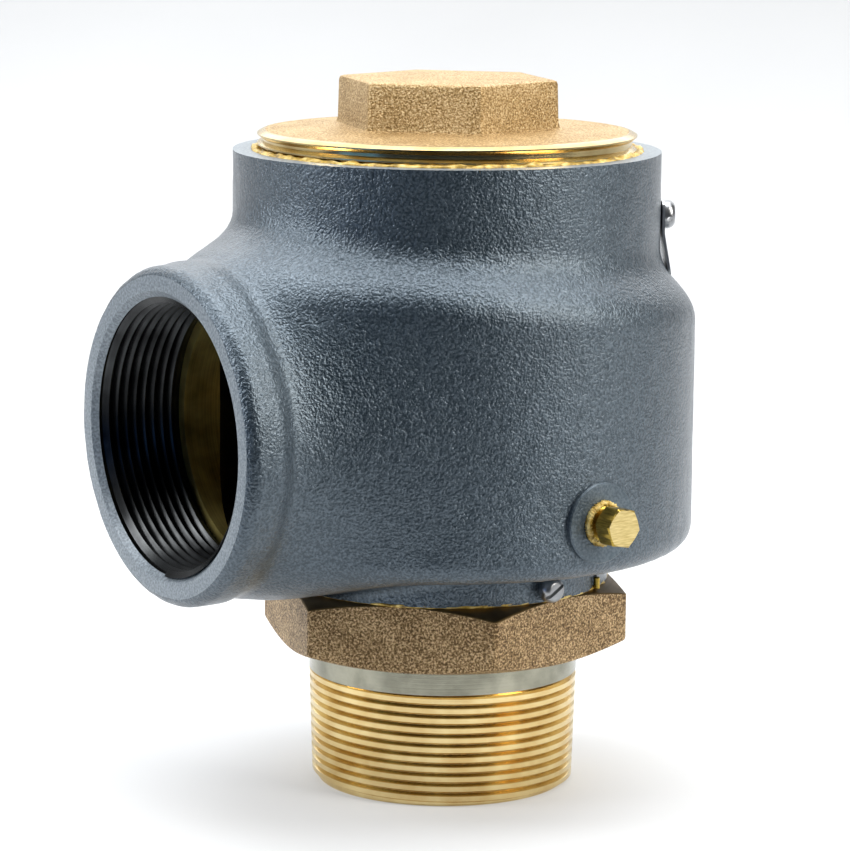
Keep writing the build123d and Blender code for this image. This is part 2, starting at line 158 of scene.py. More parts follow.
def skinned(distance, low, high, cube):
    """Points and faces of the surface where a distance is zero, one point in each cube it crosses."""
    counts = [int((high[axis] - low[axis]) / cube) + 2 for axis in range(3)]
    lines = [low[axis] + cube * np.arange(counts[axis]) for axis in range(3)]
    inside = (distance(*np.meshgrid(*lines, indexing="ij")) < 0).astype(int)
    spans = [(slice(0, count - 1), slice(1, count)) for count in counts]
    corners = sum(inside[a, b, c] for a in spans[0] for b in spans[1] for c in spans[2])
    crossed = (corners > 0) & (corners < 8)
    number = np.full(crossed.shape, -1)
    number[crossed] = np.arange(crossed.sum())
    points = np.array(low) + cube * (np.argwhere(crossed) + 0.5)
    for _ in range(5):
        slope = gradient(distance, points)
        away = distance(*points.T)
        points = points - slope * (away / np.maximum((slope ** 2).sum(axis=1), 0.25))[:, None]
    faces = []
    for axis in range(3):
        second, third = (axis + 1) % 3, (axis + 2) % 3
        change = np.diff(inside, axis=axis)
        for leaving in (-1, 1):
            edges = np.argwhere(change == leaving)
            ring = []
            for back_second, back_third in ((1, 1), (0, 1), (0, 0), (1, 0)):
                cell = edges.copy()
                cell[:, second] -= back_second
                cell[:, third] -= back_third
                ring.append(number[tuple(cell.T)])
            faces.append(np.stack(ring if leaving < 0 else ring[::-1], axis=1))
    return points, np.concatenate(faces)


def sand_waves(points, longest, height, seed):
    """Soft uneven waves over a cast skin, as wide as `longest` and less, up to this height."""
    random = np.random.default_rng(seed)
    directions = random.normal(size=(24, 3))
    directions /= np.linalg.norm(directions, axis=1)[:, None]
    wavelengths = longest * random.uniform(0.35, 1.0, size=24)
    phases = random.uniform(0, 2 * math.pi, size=24)
    waves = np.sin(points @ (directions / wavelengths[:, None]).T * 2 * math.pi + phases)
    return height * waves.sum(axis=1) / 7


def new_mesh(name, points, faces):
    """A mesh object at the origin, linked to the scene, with smooth faces."""
    mesh = bpy.data.meshes.new(name)
    corners = [tuple(point) for point in points]
    mesh.from_pydata(corners, [], [tuple(int(i) for i in face) for face in faces])
    mesh.shade_smooth()
    made = bpy.data.objects.new(name, mesh)
    bpy.context.scene.collection.objects.link(made)
    return made


def turned(name, outline, segments=160, axis="Z", finishes=None):
    """A closed turned solid. Each outline point is (radius, place along the axis).

    A radius may also be one value for each of the segments. `finishes` gives the material
    slot of the band that follows each point.
    """
    angles = np.linspace(0, 2 * math.pi, segments, endpoint=False)
    count = len(outline)
    points = []
    for radius, place in outline:
        radius = np.broadcast_to(radius, angles.shape)
        place = np.broadcast_to(place, angles.shape)
        if axis == "Z":
            points.append(np.stack([radius * np.cos(angles), radius * np.sin(angles), place], axis=1))
        else:
            points.append(np.stack([-place, radius * np.cos(angles), radius * np.sin(angles)], axis=1))
    faces = []
    slots = []
    for row in range(count):
        here = row * segments
        after = (row + 1) % count * segments
        for turn in range(segments):
            ahead = (turn + 1) % segments
            faces.append((here + turn, here + ahead, after + ahead, after + turn))
            slots.append(finishes[row] if finishes else 0)
    made = new_mesh(name, np.concatenate(points), faces)
    made.data.polygons.foreach_set("material_index", slots)
    face_outwards(made)
    return made


def face_outwards(piece):
    """Closes a piece's poles and seams and turns its faces outwards."""
    clean = bmesh.new()
    clean.from_mesh(piece.data)
    bmesh.ops.remove_doubles(clean, verts=clean.verts, dist=1e-7)
    bmesh.ops.dissolve_degenerate(clean, edges=clean.edges, dist=1e-8)
    bmesh.ops.recalc_face_normals(clean, faces=clean.faces)
    clean.to_mesh(piece.data)
    clean.free()


def cut(piece, tool):
    """Machines the tool's shape out of a piece; the cut faces take the tool's finishes."""
    modifier = piece.modifiers.new("cut", "BOOLEAN")
    modifier.operation = "DIFFERENCE"
    modifier.object = tool
    modifier.solver = "EXACT"
    settle(piece)
    bpy.data.objects.remove(tool)


def settle(piece):
    """Turns a piece and its modifiers into a plain mesh."""
    depsgraph = bpy.context.evaluated_depsgraph_get()
    mesh = bpy.data.meshes.new_from_object(piece.evaluated_get(depsgraph))
    piece.modifiers.clear()
    piece.data = mesh


def linear(colour):
    """An sRGB hex colour as linear red, green, blue and alpha."""
    parts = [int(colour[i:i + 2], 16) / 255 for i in (1, 3, 5)]
    return [part / 12.92 if part <= 0.04045 else ((part + 0.055) / 1.055) ** 2.4 for part in parts] + [1.0]


def new_material(name):
    """A node material with only its shader and output left to fill."""
    material = bpy.data.materials.new(name)
    material.use_nodes = True
    return material


def node(owner, kind, inputs, **settings):
    """Adds one node to a material or a tree. Inputs are plain values or earlier nodes' outputs."""
    tree = getattr(owner, "node_tree", owner)
    if kind == "Principled":
        made = tree.nodes["Principled BSDF"]
    else:
        made = tree.nodes.new(kind if "Node" in kind else "ShaderNode" + kind)
    for stop, (place, colour) in enumerate(settings.pop("stops", [])):
        ramp = made.color_ramp.elements
        element = ramp[stop] if stop < 2 else ramp.new(place)
        element.position = place
        element.color = linear(colour)
    for setting, value in settings.items():
        setattr(made, setting, value)
    for key, value in inputs.items():
        if isinstance(value, bpy.types.NodeSocket):
            tree.links.new(value, made.inputs[key])
        else:
            made.inputs[key].default_value = value
    return made.outputs


def grained_paint(name, colours, roughness, grain_height, gloss, flake):
    """Sprayed enamel with a share of metal flake, over a grain like that of sand-cast iron.

    Its three colours run from the pits of the grain to its high spots.
    """
    grain_width = 0.55 * mm
    patch_width = 14 * mm
    low, middle, high = colours
    material = new_material(name)
    place = node(material, "TexCoord", {})["Object"]
    patches = node(material, "TexNoise", {"Vector": place, "Scale": 1 / patch_width, "Detail": 3.0})["Fac"]
    grains = {"Vector": place, "Scale": 1 / grain_width, "Detail": 2.5, "Roughness": 0.5}
    grain = node(material, "TexNoise", grains)["Fac"]
    lumps = {"Vector": place, "Scale": 1 / (3 * grain_width), "Detail": 1.0}
    coarse = node(material, "TexNoise", lumps)["Fac"]
    blend = node(material, "Math", {0: patches, 1: 0.12, 2: grain}, operation="MULTIPLY_ADD")["Value"]
    stops = [(0.44, low), (0.7, high), (0.56, middle)]
    colour = node(material, "ValToRGB", {"Fac": blend}, stops=stops)["Color"]
    height = node(material, "Math", {0: coarse, 1: 0.5, 2: grain}, operation="MULTIPLY_ADD")["Value"]
    bump = node(material, "Bump", {"Height": height, "Strength": 1.0, "Distance": grain_height})["Normal"]
    shine_range = {"Value": grain, "To Min": roughness - 0.08, "To Max": roughness + 0.12}
    shine = node(material, "MapRange", shine_range)["Result"]
    node(material, "Principled", {
        "Base Color": colour,
        "Metallic": flake,
        "Roughness": shine,
        "Normal": bump,
        "Coat Weight": gloss,
        "Coat Roughness": 0.25,
        "Coat Normal": bump,
    })
    return material


# Blue-grey enamel with metal flake: nearly black where no lamp is mirrored and pale along the
# shoulders. On the machined faces it lies smooth and looks lighter and more matt.
iron_paint = grained_paint(
    "sprayed_grey_enamel_on_cast_iron", ("#36434d", "#46535d", "#596671"), 0.36, 0.30 * mm, 0.6, 0.7
)
face_paint = grained_paint(
    "grey_enamel_on_machined_face", ("#656f78", "#78828a", "#8b959c"), 0.42, 0.12 * mm, 0.3, 0.3
)


def ringed_bare_iron(name, light, dark, roughness, ring_width, metallic):
    """Bare machined iron in two given colours, with fine rings left by the tool."""
    material = new_material(name)
    place = node(material, "TexCoord", {})["Object"]
    stretched = node(material, "Mapping", {"Vector": place, "Scale": (1 / ring_width, 8.0, 8.0)})["Vector"]
    rings = node(material, "TexNoise", {"Vector": stretched, "Scale": 1.0, "Detail": 2.0})["Fac"]
    stain = node(material, "TexNoise", {"Vector": place, "Scale": 1 / (9 * mm), "Detail": 3.0})["Fac"]
    mix = node(material, "Math", {0: rings, 1: 0.4, 2: stain}, operation="MULTIPLY_ADD")["Value"]
    colour = node(material, "ValToRGB", {"Fac": mix}, stops=[(0.5, dark), (0.95, light)])["Color"]
    bump = node(material, "Bump", {"Height": rings, "Strength": 0.6, "Distance": 0.05 * mm})["Normal"]
    shader = {"Base Color": colour, "Roughness": roughness, "Metallic": metallic, "Normal": bump}
    node(material, "Principled", shader)
    return material


# The thread's iron is drawn near-black, as painted shade on its flanks and roots, so that only
# its crests catch the light. The bores are drawn olive-brown. The skin inside the chamber was
# never painted: it has the same cast grain with no flake or gloss. The tool's rings are drawn
# coarser than real ones, to show.
shaded_thread_iron = ringed_bare_iron("near_black_iron_thread_painted_shade", "#3c3e3f", "#0b0c0d", 0.26, 0.5 * mm, 0.9)
bore_iron = ringed_bare_iron("olive_brown_bare_iron_bore", "#c8b870", "#766a38", 0.45, 0.35 * mm, 0.7)
raw_iron = grained_paint(
    "unpainted_sand_cast_iron", ("#272625", "#3a3938", "#4b4a48"), 0.75, 0.25 * mm, 0.0, 0.0
)
body_finishes = [iron_paint, face_paint, shaded_thread_iron, bore_iron, raw_iron]

skin_low = (outlet_face - 5 * mm, -chamber_radius - 4 * mm, lower_neck_bottom - 5 * mm)
skin_high = (chamber_radius + 4 * mm, chamber_radius + 4 * mm, neck_top + 5 * mm)
skin_points, skin_faces = skinned(casting_skin, skin_low, skin_high, skin_cube)
unevenness = np.minimum(sand_waves(skin_points, 11 * mm, 0.10 * mm, seed=3), 0.0)
skin_points = skin_points + gradient(casting_skin, skin_points) * unevenness[:, None]
body = new_mesh("body_casting_skin", skin_points, skin_faces)
for finish in body_finishes:
    body.data.materials.append(finish)

mouth_bore = cap_thread_radius + 0.05 * mm
bore_tool = turned("bore_tool", [
    (0, neck_top + clear_of_casting),
    (neck_radius + clear_of_casting, neck_top + clear_of_casting),
    (neck_radius + clear_of_casting, neck_top),
    (mouth_bore + mouth_chamfer, neck_top),
    (mouth_bore, neck_top - mouth_chamfer_depth),
    (mouth_bore, ledge_top),
    (ledge_bore, ledge_top),
    (ledge_bore, chamber_ceiling),
    (chamber_bore, chamber_ceiling),
    (chamber_bore, chamber_bore_floor),
    (nozzle_bore, chamber_bore_floor),
    (nozzle_bore, lower_neck_bottom),
    (lower_neck_radius + clear_of_casting, lower_neck_bottom),
    (lower_neck_radius + clear_of_casting, lower_neck_bottom - clear_of_casting),
    (0, lower_neck_bottom - clear_of_casting),
], segments=192, finishes=[1, 1, 1, 1, 3, 3, 3, 4, 4, 4, 3, 1, 1, 1, 1])
outlet_tool = turned("outlet_tool", [
    (0, outlet_bore_start),
    (outlet_bore, outlet_bore_start),
    (outlet_bore, outlet_thread_end),
    (outlet_root_radius, outlet_thread_end),
    (outlet_root_radius, -outlet_face - mouth_chamfer),
    (outlet_root_radius + mouth_chamfer, -outlet_face),
    (collar_radius + clear_of_casting, -outlet_face),
    (collar_radius + clear_of_casting, -outlet_face + clear_of_casting),
    (0, -outlet_face + clear_of_casting),
], segments=160, axis="X", finishes=[3, 3, 3, 2, 1, 1, 1, 1, 1])
outlet_tool.data.transform(Matrix.Translation((0, 0, outlet_height)))
notch_tool = turned("notch_tool", [
    (0, -notch_top),
    (notch_radius, -notch_top),
    (notch_radius, notch_top),
    (0, notch_top + 0.4 * mm),
], segments=24)
notch_tool.data.transform(Matrix.Translation((
    lower_neck_radius * math.cos(dowel_angle),
    lower_neck_radius * math.sin(dowel_angle),
    lower_neck_bottom,
)))
for tool in (bore_tool, outlet_tool, notch_tool):
    for finish in body_finishes:
        tool.data.materials.append(finish)
    cut(body, tool)
body.data.set_sharp_from_angle(angle=math.radians(32))
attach(body, "valve_body")
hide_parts("body_casting")

# ------------------------------------------------------------------------------------------
# Outlet thread
# Female 2 inch taper pipe thread, cut in the bare iron after painting, so its crests are
# bright; the iron is drawn near-black as painted shade on its flanks and roots. Eleven and a half turns to
# the inch.
# ------------------------------------------------------------------------------------------
pipe_pitch = 25.4 * mm / 11.5
pipe_thread_depth = 1.15 * mm


def thread_tree():
    """A Geometry Nodes tree that winds a thread's ridge as a helix round the Z axis."""
    tree = bpy.data.node_groups.new("helical_thread", "GeometryNodeTree")
    sizes = [
        ("Turns", 8.0), ("Steps in a turn", 90.0), ("Start radius", 0.03), ("End radius", 0.03),
        ("Length", 0.02), ("Ridge depth", 0.0015), ("Ridge width", 0.0022), ("Crest width", 0.0003),
    ]
    tree.interface.new_socket("Geometry", in_out="INPUT", socket_type="NodeSocketGeometry")
    for name, value in sizes:
        socket = tree.interface.new_socket(name, in_out="INPUT", socket_type="NodeSocketFloat")
        socket.default_value = value
    tree.interface.new_socket("Material", in_out="INPUT", socket_type="NodeSocketMaterial")
    tree.interface.new_socket("Geometry", in_out="OUTPUT", socket_type="NodeSocketGeometry")

    given = node(tree, "NodeGroupInput", {})
    helix = node(tree, "GeometryNodeCurveSpiral", {
        "Resolution": given["Steps in a turn"],
        "Rotations": given["Turns"],
        "Start Radius": given["Start radius"],
        "End Radius": given["End radius"],
        "Height": given["Length"],
    })["Curve"]
    upright = node(tree, "GeometryNodeSetCurveNormal", {"Curve": helix}, mode="Z_UP")["Curve"]
    along = node(tree, "GeometryNodeSplineParameter", {})["Factor"]
    from_middle = node(tree, "Math", {0: along, 1: 0.5}, operation="SUBTRACT")["Value"]
    off_middle = node(tree, "Math", {0: from_middle}, operation="ABSOLUTE")["Value"]
    run_out = node(tree, "Math", {0: 0.5, 1: off_middle}, operation="SUBTRACT")["Value"]
    run_turns = node(tree, "Math", {0: run_out, 1: given["Turns"]}, operation="MULTIPLY")["Value"]
    rise = node(tree, "Math", {0: run_turns, 1: 1.2}, operation="MULTIPLY", use_clamp=True)["Value"]
    faded = node(tree, "GeometryNodeSetCurveRadius", {"Curve": upright, "Radius": rise})["Curve"]
    base_half = node(tree, "Math", {0: given["Ridge width"], 1: 0.5}, operation="MULTIPLY")["Value"]
    crest_half = node(tree, "Math", {0: given["Crest width"], 1: 0.5}, operation="MULTIPLY")["Value"]
    base_minus = node(tree, "Math", {0: base_half, 1: -1.0}, operation="MULTIPLY")["Value"]
    crest_minus = node(tree, "Math", {0: crest_half, 1: -1.0}, operation="MULTIPLY")["Value"]
    outwards = node(tree, "Math", {0: given["Ridge depth"], 1: -1.0}, operation="MULTIPLY")["Value"]
    corners = {
        "Point 1": node(tree, "CombineXYZ", {"Y": base_minus})["Vector"],
        "Point 2": node(tree, "CombineXYZ", {"X": outwards, "Y": crest_minus})["Vector"],
        "Point 3": node(tree, "CombineXYZ", {"X": outwards, "Y": crest_half})["Vector"],
        "Point 4": node(tree, "CombineXYZ", {"Y": base_half})["Vector"],
    }
    profile = node(tree, "GeometryNodeCurvePrimitiveQuadrilateral", corners, mode="POINTS")["Curve"]
    sweep = {"Curve": faded, "Profile Curve": profile, "Fill Caps": True}
    swept = node(tree, "GeometryNodeCurveToMesh", sweep)
    real = node(tree, "GeometryNodeRealizeInstances", {"Geometry": swept["Mesh"]})["Geometry"]
    finished = {"Geometry": real, "Material": given["Material"]}
    coloured = node(tree, "GeometryNodeSetMaterial", finished)["Geometry"]
    node(tree, "NodeGroupOutput", {"Geometry": coloured})
    return tree


helical_thread = thread_tree()


def wound_thread(name, material, sizes, place):
    """Winds one thread's ridge by Geometry Nodes, sets it in place and returns a plain mesh piece."""
    piece = new_mesh(name, [], [])
    modifier = piece.modifiers.new("thread", "NODES")
    modifier.node_group = helical_thread
    for socket in helical_thread.interface.items_tree:
        if socket.in_out == "INPUT" and socket.name in sizes:
            modifier[socket.identifier] = float(sizes[socket.name])
        if socket.in_out == "INPUT" and socket.name == "Material":
            modifier[socket.identifier] = material
    settle(piece)
    face_outwards(piece)
    piece.data.transform(place)
    piece.data.set_sharp_from_angle(angle=math.radians(25))
    return piece


outlet_turns = 8.4
outlet_thread = wound_thread("outlet_thread", shaded_thread_iron, {
    "Turns": outlet_turns,
    "Start radius": outlet_root_radius + 0.1 * mm,
    "End radius": outlet_root_radius - 0.45 * mm,
    "Length": outlet_turns * pipe_pitch,
    "Ridge depth": -1.2 * pipe_thread_depth,
    "Ridge width": 1.0 * pipe_pitch,
    "Crest width": 0.07 * pipe_pitch,
}, Matrix.Translation((outlet_face + 1.4 * mm, 0, outlet_height)) @ Matrix.Rotation(math.pi / 2, 4, "Y"))
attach(outlet_thread, "valve_body")

# ------------------------------------------------------------------------------------------
# Inlet nozzle
# One bronze casting. The hexagon's flats keep their coarse cast skin; the chamfer above them,
# the band below them, the pipe thread and the seat are turned bright.
# ------------------------------------------------------------------------------------------
nozzle_low, nozzle_high = (Vector(corner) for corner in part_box("inlet_nozzle"))
inlet_radius = mounts["inlet_thread"]["dims"]["r_mm"] * mm
nozzle_hex_bottom = mounts["inlet_thread"]["dims"]["length_mm"] * mm
nozzle_bore_radius = 25.4 * mm
nozzle_hex_half = 36.5 * mm
nozzle_hex_turn = math.radians(11.5)
nozzle_hex_round = 0.3 * mm
bottom_chamfer = 0.36
top_chamfer = 0.39
inlet_thread_length = 24.4 * mm
inlet_thread_taper = 0.75 * mm
joint_radius = 30.0 * mm
joint_top = 51.7 * mm
body_thread_radius = 31.8 * mm
nozzle_collar_radius = 28.5 * mm
seat_height = nozzle_high.z
seat_outer_radius = 26.1 * mm
seat_inner_radius = 23.7 * mm


def hexagon(half_flats, turn, corner_round, segments):
    """The radius of a hexagon with rounded corners at each of the segments' angles."""
    angles = np.linspace(0, 2 * math.pi, segments, endpoint=False) - turn
    from_corner = (angles + math.pi / 6) % (math.pi / 3) - math.pi / 6
    flat = half_flats / np.cos(math.pi / 6 - np.abs(from_corner))
    centre = (half_flats - corner_round) / math.cos(math.pi / 6)
    inside = np.maximum(corner_round ** 2 - (centre * np.sin(from_corner)) ** 2, 0)
    corner = centre * np.cos(from_corner) + np.sqrt(inside)
    return np.where(inside > 0, np.minimum(flat, corner), flat)


def cast_bronze(name, colours, grain_width, grain_height):
    """Shot-blasted cast bronze: matt and coarse, in three colours from its pits to its high grains."""
    low, middle, high = colours
    material = new_material(name)
    place = node(material, "TexCoord", {})["Object"]
    grains = {"Vector": place, "Scale": 1 / grain_width, "Detail": 4.0, "Roughness": 0.6}
    grain = node(material, "TexNoise", grains)["Fac"]
    pits = node(material, "TexVoronoi", {"Vector": place, "Scale": 1 / (1.4 * grain_width)})["Distance"]
    patches = node(material, "TexNoise", {"Vector": place, "Scale": 1 / (8 * mm), "Detail": 3.0})["Fac"]
    tone = node(material, "Math", {0: patches, 1: 0.15, 2: grain}, operation="MULTIPLY_ADD")["Value"]
    stops = [(0.45, low), (0.7, high), (0.575, middle)]
    colour = node(material, "ValToRGB", {"Fac": tone}, stops=stops)["Color"]
    height = node(material, "Math", {0: pits, 1: 0.35, 2: grain}, operation="MULTIPLY_ADD")["Value"]
    bump = node(material, "Bump", {"Height": height, "Strength": 1.0, "Distance": grain_height})["Normal"]
    shine = node(material, "MapRange", {"Value": grain, "To Min": 0.6, "To Max": 0.36})["Result"]
    shader = {"Base Color": colour, "Metallic": 0.75, "Roughness": shine, "Normal": bump}
    node(material, "Principled", shader)
    return material


def turned_metal(name, light, dark, roughness, line_width, line_depth):
    """Lathe-turned metal: bright, with the tool's lines drawn a little coarse so that they show."""
    material = new_material(name)
    place = node(material, "TexCoord", {})["Object"]
    stretched = node(material, "Mapping", {"Vector": place, "Scale": (6.0, 6.0, 1 / line_width)})["Vector"]
    tool_marks = {"Vector": stretched, "Scale": 1.0, "Detail": 3.0, "Roughness": 0.6}
    lines = node(material, "TexNoise", tool_marks)["Fac"]
    stain = node(material, "TexNoise", {"Vector": place, "Scale": 1 / (7 * mm), "Detail": 4.0})["Fac"]
    colour = node(material, "ValToRGB", {"Fac": stain}, stops=[(0.35, dark), (0.65, light)])["Color"]
    bump = node(material, "Bump", {"Height": lines, "Strength": 0.8, "Distance": line_depth})["Normal"]
    shine_range = {"Value": lines, "To Min": roughness - 0.06, "To Max": roughness + 0.1}
    shine = node(material, "MapRange", shine_range)["Result"]
    shader = {"Base Color": colour, "Metallic": 1.0, "Roughness": shine, "Normal": bump}
    node(material, "Principled", shader)
    return material


# The hexagon is brown and sparkles in grains, the thread is golden and sharp, the chamfered top
# is duller, and darker as painted shade from the body above it, and the smooth plain band has a
# grey look, as if it was tinned.
nozzle_bronze = cast_bronze(
    "shot_blasted_cast_bronze", ("#5a452c", "#957a54", "#d8bc92"), 0.45 * mm, 0.5 * mm
)
thread_brass = turned_metal("bright_turned_bronze", "#e2cc96", "#d0b47a", 0.18, 0.2 * mm, 0.012 * mm)
shaded_dull_bronze = turned_metal("dull_turned_bronze_painted_shade", "#8f7650", "#6c5738", 0.34, 0.3 * mm, 0.02 * mm)
band_bronze = turned_metal("tinned_turned_bronze", "#a09e8e", "#7f7e70", 0.2, 0.4 * mm, 0.015 * mm)
nozzle_finishes = [nozzle_bronze, thread_brass, shaded_dull_bronze, band_bronze]

nozzle_segments = 360
hex_edge = hexagon(nozzle_hex_half, nozzle_hex_turn, nozzle_hex_round, nozzle_segments)
hex_over = hex_edge - nozzle_hex_half
root_radius = inlet_radius - pipe_thread_depth
hex_lower_edge = nozzle_hex_bottom + bottom_chamfer * hex_over
hex_upper_edge = lower_neck_bottom - top_chamfer * hex_over
nozzle = turned("inlet_nozzle_body", [
    (nozzle_bore_radius, 0.6 * mm),
    (nozzle_bore_radius + 0.6 * mm, 0.0),
    (root_radius - 1.0 * mm, 0.0),
    (root_radius - inlet_thread_taper, 0.4 * mm),
    (root_radius, inlet_thread_length),
    (inlet_radius, inlet_thread_length + 1.0 * mm),
    (inlet_radius, nozzle_hex_bottom + 0.1 * mm),
    (nozzle_hex_half - 0.8 * mm, nozzle_hex_bottom),
    (hex_edge - 0.7 * mm, hex_lower_edge),
    (hex_edge - 0.2 * mm, hex_lower_edge + 0.25 * mm),
    (hex_edge, hex_lower_edge + 0.8 * mm),
    (hex_edge, hex_upper_edge - 0.3 * mm),
    (hex_edge - 0.25 * mm, hex_upper_edge),
    (nozzle_hex_half - 0.3 * mm, lower_neck_bottom),
    (joint_radius, lower_neck_bottom),
    (joint_radius, joint_top),
    (body_thread_radius, joint_top + 1.0 * mm),
    (body_thread_radius, chamber_bore_floor),
    (nozzle_collar_radius, chamber_bore_floor),
    (nozzle_collar_radius, seat_height - 1.0 * mm),
    (seat_outer_radius, seat_height),
    (seat_inner_radius, seat_height),
], segments=nozzle_segments, finishes=[1] * 5 + [3] + [0] * 5 + [2] * 3 + [1] * 8)
for finish in nozzle_finishes:
    nozzle.data.materials.append(finish)
nozzle.data.set_sharp_from_angle(angle=math.radians(28))
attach(nozzle, "valve_body")
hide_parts("inlet_nozzle")

inlet_turns = inlet_thread_length / pipe_pitch - 0.4
inlet_thread = wound_thread("inlet_thread", thread_brass, {
    "Turns": inlet_turns,
    "Start radius": root_radius - inlet_thread_taper,
    "End radius": root_radius,
    "Length": inlet_turns * pipe_pitch,
    "Ridge depth": pipe_thread_depth,
    "Ridge width": 1.0 * pipe_pitch,
    "Crest width": 0.48 * pipe_pitch,
}, Matrix.Translation((0, 0, 1.2 * mm)))
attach(inlet_thread, "valve_body")

# ------------------------------------------------------------------------------------------
# Cap
# Cast bronze with a rough flat top and hexagon. Its rim is turned to a small bevel, and its
# thread stands out of the body's mouth by about two turns.
# ------------------------------------------------------------------------------------------
cap_pitch = 25.4 * mm / 12
cap_rim_top = 146.2 * mm
cap_hex_half = 21.6 * mm
cap_hex_turn = math.radians(12.7)
cap_thread_depth = 1.1 * mm
cap_hollow_radius = 36.0 * mm
cap_hollow_top = 140.0 * mm
cap_segments = 360

# The cap's cast grain is closer, shallower and paler than the nozzle's.
cap_bronze = cast_bronze(
    "pale_shot_blasted_cast_bronze", ("#7c6138", "#ae9162", "#d2ba90"), 0.42 * mm, 0.3 * mm
)
cap_finishes = [cap_bronze, thread_brass]
cap_edge = hexagon(cap_hex_half, cap_hex_turn, 0.9 * mm, cap_segments)
cap_root = cap_thread_radius - cap_thread_depth
cap = turned("cap_body", [
    (0, cap_hollow_top),
    (cap_hollow_radius, cap_hollow_top),
    (cap_hollow_radius, cap_low.z),
    (cap_root, cap_low.z),
    (cap_root, cap_rim_top - 1.7 * mm),
    (cap_thread_radius, cap_rim_top - 0.9 * mm),
    (cap_thread_radius, cap_rim_top - 0.6 * mm),
    (cap_thread_radius - 1.1 * mm, cap_rim_top),
    (cap_thread_radius - 1.8 * mm, cap_rim_top + 0.1 * mm),
    (cap_hex_half + 6 * mm, cap_rim_top + 0.7 * mm),
    (cap_edge + 1.6 * mm, cap_rim_top + 0.9 * mm),
    (cap_edge + 0.5 * mm, cap_rim_top + 1.3 * mm),
    (cap_edge + 0.15 * mm, cap_rim_top + 2.4 * mm),
    (cap_edge - 0.1 * mm, cap_high.z - 0.9 * mm),
    (cap_edge - 0.4 * mm, cap_high.z - 0.25 * mm),
    (cap_edge - 1.2 * mm, cap_high.z),
    (0, cap_high.z),
], segments=cap_segments, finishes=[1] * 8 + [0] * 9)
for finish in cap_finishes:
    cap.data.materials.append(finish)
cap.data.set_sharp_from_angle(angle=math.radians(30))
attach(cap, "cap")
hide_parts("cap")

cap_turns = 10
cap_thread = wound_thread("cap_thread", thread_brass, {
    "Turns": cap_turns,
    "Start radius": cap_root,
    "End radius": cap_root,
    "Length": cap_turns * cap_pitch,
    "Ridge depth": cap_thread_depth,
    "Ridge width": 0.8 * cap_pitch,
    "Crest width": 0.16 * cap_pitch,
}, Matrix.Translation((0, 0, cap_rim_top - 2.0 * mm - cap_turns * cap_pitch)))
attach(cap_thread, "cap")

# ------------------------------------------------------------------------------------------
# Thread sealant
# Yellow-tan paste that was brushed on the threads and squeezed out as they were made up. It
# stands as a pitted, uneven bead in the body's mouth, on the nozzle's joint and at the plug.
# ------------------------------------------------------------------------------------------
def sealant_paste():
    """Half-dry sealing paste: waxy, pitted, paler where it is thin."""
    material = new_material("dried_thread_sealing_paste")
    place = node(material, "TexCoord", {})["Object"]
    lumps = node(material, "TexNoise", {"Vector": place, "Scale": 1 / (1.6 * mm), "Detail": 4.0})["Fac"]
    stops = [(0.34, "#7d6426"), (0.66, "#e2cd86"), (0.5, "#c2a148")]
    colour = node(material, "ValToRGB", {"Fac": lumps}, stops=stops)["Color"]
    bump = node(material, "Bump", {"Height": lumps, "Strength": 1.0, "Distance": 0.35 * mm})["Normal"]
    shine = node(material, "MapRange", {"Value": lumps, "To Min": 0.3, "To Max": 0.55})["Result"]
    node(material, "Principled", {"Base Color": colour, "Roughness": shine, "Normal": bump, "IOR": 1.47})
    return material


paste = sealant_paste()


def bead(name, radius, place, thickness, squash, roughness, seed, segments=540):
    """An uneven ring of paste: a round section that swells and thins as it goes round."""
    sides = 12
    random = np.random.default_rng(seed)
    angles = np.linspace(0, 2 * math.pi, segments, endpoint=False)
    outline = []
    for side in range(sides):
        around = 2 * math.pi * side / sides
        swell = np.ones(segments)
        for waves in random.integers(3, 60, size=18):
            swell += roughness * np.sin(waves * angles + random.uniform(0, 2 * math.pi)) / 5
        size = thickness * np.maximum(swell, 0.25)
        outline.append((radius + size * math.cos(around), place + squash * size * math.sin(around)))
    made = turned(name, outline, segments=segments)
    made.data.materials.append(paste)
    return made


mouth_bead = bead(
    "cap_sealant", mouth_bore + 0.25 * mm, neck_top - 0.35 * mm, 1.1 * mm, 0.8, 0.35, seed=11
)
joint_bead = bead(
    "nozzle_sealant", lower_neck_radius - 0.5 * mm, lower_neck_bottom + 0.1 * mm, 0.5 * mm, 0.8, 0.4, seed=12
)
for paste_bead in (mouth_bead, joint_bead):
    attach(paste_bead, "valve_body")

# ------------------------------------------------------------------------------------------
# Ring lock plug
# Small brass hexagon plug, turned and parted off, so its end shows scratches. Its pipe
# thread is screwed into the pad with sealant, and its pin holds the regulating ring.
# ------------------------------------------------------------------------------------------
plug_angle = math.radians(-87.3)
plug_height = 67.0 * mm
pad_radius = 8.8 * mm
pad_face = 56.0 * mm
pad_root = 51.0 * mm
pad_edge = 0.3 * mm
plug_pin_radius = 1.0 * mm
plug_pin_tip = 31.4 * mm
plug_thread_start = 49.6 * mm
plug_waist_radius = 2.9 * mm
plug_hex_length = 4.6 * mm
plug_thread_radius = 3.9 * mm
plug_hex_half = 3.97 * mm
plug_hex_turn = math.radians(20)
plug_end = pad_face + 7.2 * mm


def facing(angle, height):
    """Places a piece made along Z so that it points outwards at this angle and height."""
    outwards = Matrix.Rotation(angle, 4, "Z") @ Matrix.Rotation(math.pi / 2, 4, "Y")
    return Matrix.Translation((0, 0, height)) @ outwards


